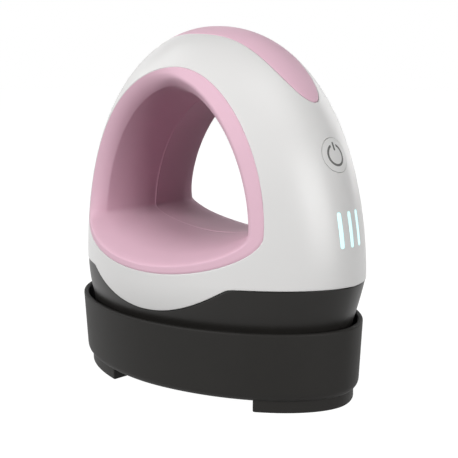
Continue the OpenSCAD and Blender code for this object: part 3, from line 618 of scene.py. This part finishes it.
def foot(name, low_x, high_x):
    """A foot block that wraps round one end of the tray, with softened corners."""
    sunk_in, softening = 0.6, 0.6
    x, y = outline(FOOT_X, FOOT_Y, 160)
    inside = (x > low_x) & (x < high_x)
    cut_x = low_x if low_x > -FOOT_X else high_x
    cut_y = FOOT_Y * (1 - (abs(cut_x) / FOOT_X) ** POWER) ** (1 / POWER)
    ring = [(px, py) for px, py, keep in sorted(
        zip(x, y, inside), key=lambda q: math.atan2(q[1], q[0] if cut_x > 0 else -q[0])) if keep]
    ring = [(cut_x, -cut_y)] + ring + [(cut_x, cut_y)]
    bm = bmesh.new()
    bottom = [bm.verts.new((px * MM, py * MM, 0)) for px, py in ring]
    face = bm.faces.new(bottom)
    out = bmesh.ops.extrude_face_region(bm, geom=[face])
    top = [g for g in out["geom"] if isinstance(g, bmesh.types.BMVert)]
    bmesh.ops.translate(bm, verts=top, vec=(0, 0, (TRAY_Z + sunk_in) * MM))
    bmesh.ops.recalc_face_normals(bm, faces=bm.faces)
    bm.edges.ensure_lookup_table()
    corners = [e for e in bm.edges if all(v.co.z < 1e-6 for v in e.verts)
               or (abs(e.verts[0].co.z - e.verts[1].co.z) > 1e-4
                   and all(abs(v.co.x - cut_x * MM) < 1e-7 for v in e.verts))]
    bmesh.ops.bevel(bm, geom=corners, offset=softening * MM, segments=4, profile=0.5, affect="EDGES")
    for f in bm.faces:
        f.smooth = True
    for e in bm.edges:
        e.smooth = not (e.is_manifold and e.calc_face_angle(0) > math.radians(35))
    mesh = bpy.data.meshes.new(name)
    bm.to_mesh(mesh)
    bm.free()
    obj = bpy.data.objects.new(name, mesh)
    bpy.context.scene.collection.objects.link(obj)
    return obj


# ---------------------------------------------------------------- materials
GRAIN_SCALE, GRAIN_DEPTH = 4000.0, 0.00005


def new_material(name):
    material = bpy.data.materials.new(name)
    material.use_nodes = True
    tree = material.node_tree
    return material, tree, tree.nodes["Principled BSDF"]


def noise_node(tree, coordinates, scale, detail):
    noise = tree.nodes.new("ShaderNodeTexNoise")
    noise.inputs["Scale"].default_value = scale
    noise.inputs["Detail"].default_value = detail
    tree.links.new(coordinates.outputs["Object"], noise.inputs["Vector"])
    return noise


def speckle(tree, bsdf, colour, spread, scale):
    """Colour that varies a little over the surface, by noise in object space."""
    coordinates = tree.nodes.new("ShaderNodeTexCoord")
    noise = noise_node(tree, coordinates, scale, 4.0)
    ramp = tree.nodes.new("ShaderNodeValToRGB")
    low = [max(0.0, c * (1 - spread)) for c in colour]
    high = [min(1.0, c * (1 + spread)) for c in colour]
    ramp.color_ramp.elements[0].position = 0.3
    ramp.color_ramp.elements[0].color = (*low, 1)
    ramp.color_ramp.elements[1].position = 0.7
    ramp.color_ramp.elements[1].color = (*high, 1)
    tree.links.new(noise.outputs["Fac"], ramp.inputs["Fac"])
    tree.links.new(ramp.outputs["Color"], bsdf.inputs["Base Color"])
    return coordinates, noise


def vary_roughness(tree, bsdf, source, low, high):
    """Gloss that varies with the same noise as the colour."""
    spread = tree.nodes.new("ShaderNodeMapRange")
    spread.inputs["To Min"].default_value = low
    spread.inputs["To Max"].default_value = high
    tree.links.new(source.outputs["Fac"], spread.inputs["Value"])
    tree.links.new(spread.outputs["Result"], bsdf.inputs["Roughness"])


def grain(tree, bsdf, coordinates, strength):
    """A fine moulded grain, as a bump."""
    noise = noise_node(tree, coordinates, GRAIN_SCALE, 3.0)
    bump = tree.nodes.new("ShaderNodeBump")
    bump.inputs["Strength"].default_value = strength
    bump.inputs["Distance"].default_value = GRAIN_DEPTH
    tree.links.new(noise.outputs["Fac"], bump.inputs["Height"])
    tree.links.new(bump.outputs["Normal"], bsdf.inputs["Normal"])


def moulded(name, colour, rough, spread=0.03, metal=0.0, scale=60.0, strength=0.08, specular=0.5, sheen=0.0):
    """A moulded, cast or painted surface: slightly uneven colour and gloss, and a fine grain."""
    material, tree, bsdf = new_material(name)
    coordinates, noise = speckle(tree, bsdf, colour, spread, scale)
    vary_roughness(tree, bsdf, noise, *rough)
    grain(tree, bsdf, coordinates, strength)
    bsdf.inputs["Metallic"].default_value = metal
    bsdf.inputs["Specular IOR Level"].default_value = specular
    bsdf.inputs["Sheen Weight"].default_value = sheen
    bsdf.inputs["Sheen Roughness"].default_value = 0.4
    return material


def lit_window():
    """A frosted window with light behind it."""
    material, tree, bsdf = new_material("lit_window")
    speckle(tree, bsdf, (0.72, 0.95, 0.95), 0.02, 300.0)
    bsdf.inputs["Emission Color"].default_value = (0.60, 0.97, 1.0, 1)
    bsdf.inputs["Emission Strength"].default_value = 0.45
    bsdf.inputs["Roughness"].default_value = 0.35
    return material


def fuse_glass():
    material, tree, bsdf = new_material("fuse_glass")
    speckle(tree, bsdf, (0.85, 0.9, 0.92), 0.02, 300.0)
    bsdf.inputs["Transmission Weight"].default_value = 0.8
    bsdf.inputs["Roughness"].default_value = 0.08
    return material


MATERIALS = {
    "white_shell": moulded("white_shell", (0.70, 0.694, 0.687), rough=(0.30, 0.38), spread=0.012,
                           strength=0.04, scale=25.0),
    "pink_grip": moulded("pink_grip", (0.725, 0.478, 0.573), rough=(0.50, 0.60), spread=0.025,
                         strength=0.12, scale=35.0, specular=0.06, sheen=0.1),
    "charcoal_plastic": moulded("charcoal_plastic", (0.0155, 0.0145, 0.0133), rough=(0.36, 0.44), spread=0.08,
                                strength=0.22, scale=80.0, specular=0.24),
    "stand_charcoal": moulded("stand_charcoal", (0.0165, 0.0155, 0.0142), rough=(0.56, 0.66), spread=0.08,
                              strength=0.22, scale=80.0, specular=0.2),
    "silicone": moulded("silicone", (0.35, 0.07, 0.05), rough=(0.55, 0.65)),
    "cast_aluminium": moulded("cast_aluminium", (0.70, 0.71, 0.72), rough=(0.28, 0.42), metal=1.0,
                              strength=0.3),
    "steel": moulded("steel", (0.58, 0.58, 0.57), rough=(0.25, 0.4), metal=1.0),
    "mica": moulded("mica", (0.66, 0.58, 0.42), rough=(0.3, 0.5), spread=0.15, scale=200.0),
    "ceramic": moulded("ceramic", (0.80, 0.77, 0.68), rough=(0.4, 0.6)),
    "brass": moulded("brass", (0.75, 0.56, 0.26), rough=(0.25, 0.4), metal=1.0),
    "inner_plastic": moulded("inner_plastic", (0.08, 0.085, 0.09), rough=(0.45, 0.6), strength=0.2),
    "circuit_board": moulded("circuit_board", (0.02, 0.16, 0.07), rough=(0.25, 0.4), spread=0.2, scale=500.0),
    "component_blue": moulded("component_blue", (0.04, 0.12, 0.34), rough=(0.3, 0.4)),
    "component_yellow": moulded("component_yellow", (0.60, 0.42, 0.06), rough=(0.3, 0.45)),
    "component_dark": moulded("component_dark", (0.018, 0.018, 0.02), rough=(0.4, 0.55)),
    "fuse_glass": fuse_glass(),
    "light_window": lit_window(),
    "icon_grey": moulded("icon_grey", (0.13, 0.13, 0.125), rough=(0.45, 0.55), scale=300.0),
    "cable_rubber": moulded("cable_rubber", (0.025, 0.025, 0.025), rough=(0.5, 0.6), strength=0.2),
    "wire_red": moulded("wire_red", (0.5, 0.03, 0.02), rough=(0.35, 0.45)),
    "wire_grey": moulded("wire_grey", (0.5, 0.5, 0.48), rough=(0.4, 0.55)),
}


def place(obj, slot, body, *nodes, finish=None):
    """Gives a new piece its material and its body, and hides the CAD nodes that it stands for."""
    obj.data.materials.clear()
    obj.data.materials.append(MATERIALS[finish or slot])
    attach(obj, body)
    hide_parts(*nodes)


def finish_cad_node(obj, slot):
    """An inner or underside piece keeps its CAD shape and gets softened edges and its own material."""
    obj.data.materials.clear()
    obj.data.materials.append(MATERIALS[slot])
    for polygon in obj.data.polygons:
        polygon.use_smooth = True
    soften = obj.modifiers.new("soft_edges", "BEVEL")
    soften.width = 0.12 * MM
    soften.segments = 2
    soften.limit_method = "ANGLE"
    soften.angle_limit = math.radians(35)
    soften.harden_normals = True


# ---------------------------------------------------------------- camera, floor and lights
CAMERA_AZIMUTH, CAMERA_ELEVATION, CAMERA_DISTANCE = 42.584, 9.536, 0.36878
CAMERA_TARGET, LENS, SENSOR = (0.00683, 0, 0.05509), 79.7534, 36
LIT_POINT = (0, 0, 0.07)
LIGHT_DISTANCE, LIGHT_SIZE = 0.9, 0.5
LIGHTS = {                       # azimuth and elevation in degrees, and watts
    "front": (-10, 19, 7.0),
    "tail_high": (-75, 45, 1.15),
    "nose_side": (85, 14, 4.8),
    "nose_high": (80, 60, 1.7),
    "back": (180, 35, 0.5),
    "back_tail": (230, 30, 0.5),
    "tail_back": (270, 40, 0.4),
}
RIM_LIGHTS = {                   # these only show as reflections along the outlines
    "rim_nose": (185, 15, 1.6),
    "rim_back": (220, 15, 0.6),
    "rim_tail": (255, 12, 0.75),
    "rim_side": (280, 15, 1.0),
}


def stand_off(obj, target, azimuth, elevation, distance):
    """Puts an object round a target and turns it to face it; azimuths turn from the near side to the nose."""
    azimuth, elevation = math.radians(azimuth), math.radians(elevation)
    away = Vector((math.sin(azimuth) * math.cos(elevation),
                   -math.cos(azimuth) * math.cos(elevation), math.sin(elevation)))
    obj.location = Vector(target) + away * distance
    obj.rotation_euler = (Vector(target) - obj.location).to_track_quat("-Z", "Y").to_euler()
    bpy.context.scene.collection.objects.link(obj)


def add_camera():
    data = bpy.data.cameras.new("camera")
    data.sensor_width = SENSOR
    data.lens = LENS
    data.clip_start = 0.01
    camera = bpy.data.objects.new("camera", data)
    stand_off(camera, CAMERA_TARGET, CAMERA_AZIMUTH, CAMERA_ELEVATION, CAMERA_DISTANCE)
    bpy.context.scene.camera = camera


def add_light(name, azimuth, elevation, power, only_reflected=False):
    """A square soft box that faces the object."""
    data = bpy.data.lights.new(name, "AREA")
    data.size = LIGHT_SIZE
    data.energy = power
    light = bpy.data.objects.new(name, data)
    light.visible_diffuse = not only_reflected
    stand_off(light, LIT_POINT, azimuth, elevation, LIGHT_DISTANCE)


def add_floor():
    """A plain pale floor. Reflections show it, but it throws no light on matt surfaces."""
    size = 3.0
    corners = [(-size, -size, 0), (size, -size, 0), (size, size, 0), (-size, size, 0)]
    mesh = bpy.data.meshes.new("floor")
    mesh.from_pydata(corners, [], [(0, 1, 2, 3)])
    floor = bpy.data.objects.new("floor", mesh)
    bpy.context.scene.collection.objects.link(floor)
    material, tree, bsdf = new_material("pale_floor")
    speckle(tree, bsdf, (0.12, 0.12, 0.12), 0.01, 3.0)
    bsdf.inputs["Roughness"].default_value = 0.9
    bsdf.inputs["Specular IOR Level"].default_value = 0.0
    bsdf.inputs["Emission Color"].default_value = (1, 1, 1, 1)
    bsdf.inputs["Emission Strength"].default_value = 1.0
    floor.data.materials.append(material)
    floor.visible_diffuse = False


def add_world():
    """White behind the object, and a much weaker white that lights it from all round."""
    world = bpy.data.worlds.new("studio")
    world.use_nodes = True
    tree = world.node_tree
    soft = tree.nodes["Background"]
    soft.inputs["Color"].default_value = (1, 1, 1, 1)
    soft.inputs["Strength"].default_value = 0.02
    seen = tree.nodes.new("ShaderNodeBackground")
    seen.inputs["Color"].default_value = (1, 1, 1, 1)
    seen.inputs["Strength"].default_value = 1.0
    path = tree.nodes.new("ShaderNodeLightPath")
    mix = tree.nodes.new("ShaderNodeMixShader")
    tree.links.new(path.outputs["Is Camera Ray"], mix.inputs["Fac"])
    tree.links.new(soft.outputs["Background"], mix.inputs[1])
    tree.links.new(seen.outputs["Background"], mix.inputs[2])
    tree.links.new(mix.outputs["Shader"], tree.nodes["World Output"].inputs["Surface"])
    bpy.context.scene.world = world


def add_studio():
    add_floor()
    add_world()
    for name, spot in LIGHTS.items():
        add_light(name, *spot)
    for name, spot in RIM_LIGHTS.items():
        add_light(name, *spot, only_reflected=True)
    view = bpy.context.scene.view_settings
    view.view_transform = "Standard"
    view.look = "None"


# ---------------------------------------------------------------- the scene
add_camera()
add_studio()

place(outer_shell(), "white_shell", "press", "outer_shell")
place(tunnel_liner("soft_liner_near", -1), "pink_grip", "press", "liner_near")
place(tunnel_liner("soft_liner_far", 1), "pink_grip", "press", "liner_far")
place(top_grip(), "pink_grip", "press", "top_grip")
place(base_skirt(), "charcoal_plastic", "press", "base_skirt")
place(button_cap(), "white_shell", "button", "button_cap")
place(power_icon(), "icon_grey", "button", "power_icon")
for number in (-1, 0, 1):
    place(light_bar(number), "light_window", "press", "light_bars")
stand_pieces = (stand_tray(),
                foot("nose_foot", NOSE_FOOT_X, PAST_END),
                foot("tail_foot", -PAST_END, TAIL_FOOT_X))
for piece in stand_pieces:
    place(piece, "charcoal_plastic", "stand", "stand_shell", finish="stand_charcoal")

SLOT_OF = {part["node"]: part["material_slot"] for part in frame["record"]["subparts"]}
for cad_name, cad_node in frame["nodes"].items():
    if not cad_node.hide_render:
        finish_cad_node(cad_node, SLOT_OF[cad_name])
